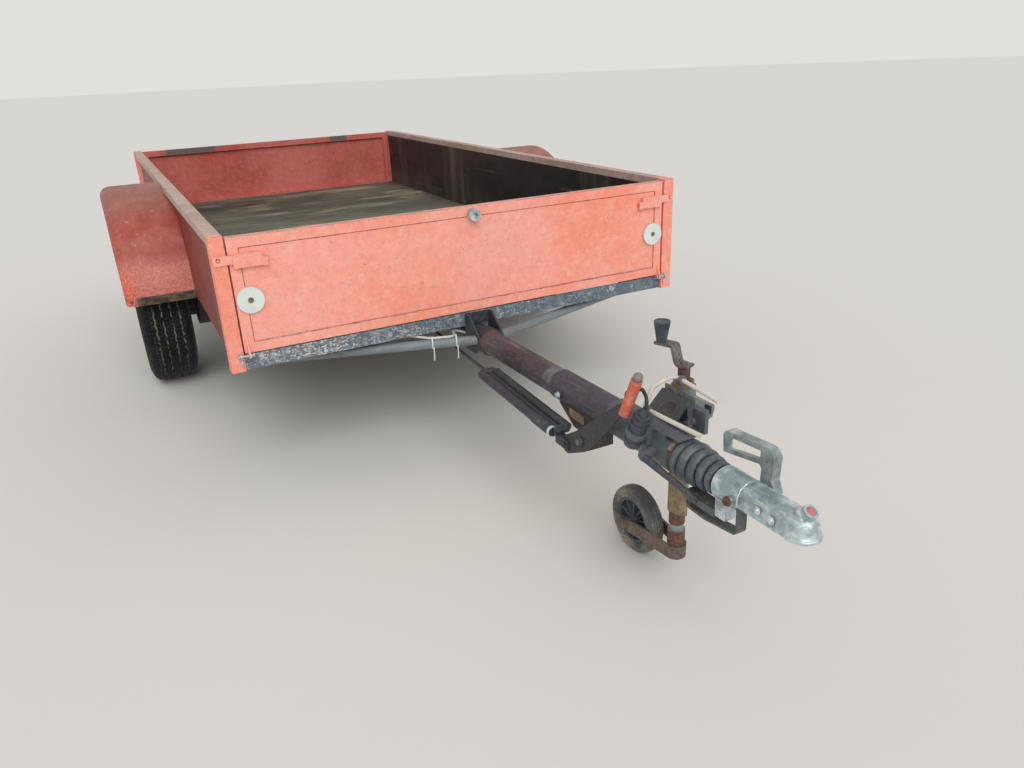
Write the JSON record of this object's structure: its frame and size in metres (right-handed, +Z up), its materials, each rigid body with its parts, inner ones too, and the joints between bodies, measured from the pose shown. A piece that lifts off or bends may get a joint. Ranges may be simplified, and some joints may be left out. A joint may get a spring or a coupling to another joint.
{
  "type": "utility trailer",
  "caption": "Flat-sided utility trailer with drop gates, half-round fenders, a tubular drawbar with overrun ball coupling, hand brake and jockey wheel.",
  "frame": {"origin": "on the floor under the middle of the whole trailer", "axes": "+Z up, -Y forward along the drawbar, +X to the side that carries the jockey wheel"},
  "size_m": [2.01, 4.3341, 0.82],
  "materials": {
    "red_paint": "faded glossy paint",
    "dark_red_paint": "worn dull paint",
    "black_paint": "worn satin paint",
    "brown_paint": "dull dusty paint",
    "cast_black": "sand-cast, dusty",
    "galvanised": "hot-dip galvanised, dull",
    "cream_steel": "dull plated rod",
    "bellows_rubber": "dusty rubber",
    "tyre_rubber": "dusty tread",
    "plywood": "weathered film-faced board",
    "grey_plastic": "scuffed",
    "orange_plastic": "scuffed",
    "reflector_white": "dull clear over white",
    "button_red": "faded",
    "ochre_rust": "rusted zinc",
    "rust_steel": "bare rusty steel",
    "black_plastic": "scuffed",
    "wheel_silver": "dull wheel paint",
    "lamp_red": "moulded lens",
    "white_plastic": "dusty sheath"
  },
  "bodies": {
    "root": {"floor_panel": "plywood", "corner_posts": "red_paint", "side_wall_left": "dark_red_paint", "side_wall_right": "dark_red_paint", "wall_caps": "red_paint", "side_rails": "black_paint", "front_beam": "black_paint", "rear_beam": "black_paint", "cross_members": "black_paint", "hinge_pins": "red_paint", "latch_studs": "red_paint", "drawbar_tube": "brown_paint", "drawbar_bracket": "black_paint", "v_braces": "black_paint", "overrun_housing": "cast_black", "housing_cover": "black_paint", "draw_shaft": "galvanised", "gaiter": "bellows_rubber", "coupling_head": "galvanised", "coupling_button": "button_red", "coupling_lever": "galvanised", "bail_handle": "cream_steel", "handbrake_lever": "black_paint", "handbrake_grip": "orange_plastic", "handbrake_bracket": "black_paint", "brake_linkage": "black_paint", "plug": "grey_plastic", "lead": "white_plastic", "safety_bar": "black_plastic", "coupling_hoop": "black_paint", "jockey_clamp": "cast_black", "axle_beam": "black_paint", "swing_arms": "black_paint", "fender_left": "red_paint", "fender_right": "red_paint", "rear_lamps": "lamp_red", "lamp_brackets": "black_paint"},
    "front_gate": {"front_gate": "red_paint", "front_latches": "red_paint", "gate_knob": "galvanised", "reflectors": "reflector_white"},
    "rear_gate": {"rear_gate": "red_paint", "rear_latches": "red_paint"},
    "wheel_left": {"hub_left": "cast_black", "rim_left": "wheel_silver", "tyre_left": "tyre_rubber"},
    "wheel_right": {"hub_right": "cast_black", "rim_right": "wheel_silver", "tyre_right": "tyre_rubber"},
    "jockey_stand": {"jockey_tube": "ochre_rust", "jockey_crank": "black_paint", "crank_knob": "black_plastic"},
    "jockey_leg": {"jockey_leg": "rust_steel"},
    "jockey_castor": {"jockey_fork": "rust_steel"},
    "jockey_wheel": {"jockey_tyre": "tyre_rubber", "jockey_rim": "black_plastic"}
  },
  "joints": [
    {"name": "front_gate_hinge", "type": "hinge", "parent": "root", "child": "front_gate", "pos_m": [0, -0.7655, 0.477], "axis": [1, 0, 0], "range_deg": [0, 90]},
    {"name": "rear_gate_hinge", "type": "hinge", "parent": "root", "child": "rear_gate", "pos_m": [0, 2.1575, 0.477], "axis": [-1, 0, 0], "range_deg": [0, 180]},
    {"name": "wheel_left_spin", "type": "hinge", "parent": "root", "child": "wheel_left", "pos_m": [0.875, 0.57983, 0.315], "axis": [1, 0, 0], "continuous": true},
    {"name": "wheel_right_spin", "type": "hinge", "parent": "root", "child": "wheel_right", "pos_m": [-0.875, 0.57983, 0.315], "axis": [1, 0, 0], "continuous": true},
    {"name": "jockey_clamp_slide", "type": "slide", "parent": "root", "child": "jockey_stand", "axis": [0, 0, 1], "range_m": [0, 0.09]},
    {"name": "jockey_screw", "type": "slide", "parent": "jockey_stand", "child": "jockey_leg", "axis": [0, 0, 1], "range_m": [-0.15, 0.03]},
    {"name": "jockey_swivel", "type": "hinge", "parent": "jockey_leg", "child": "jockey_castor", "pos_m": [0.072, -1.6975, 0.092], "axis": [0, 0, 1], "continuous": true},
    {"name": "jockey_spin", "type": "hinge", "parent": "jockey_castor", "child": "jockey_wheel", "pos_m": [0.072, -1.5395, 0.092], "axis": [1, 0, 0], "continuous": true}
  ]
}
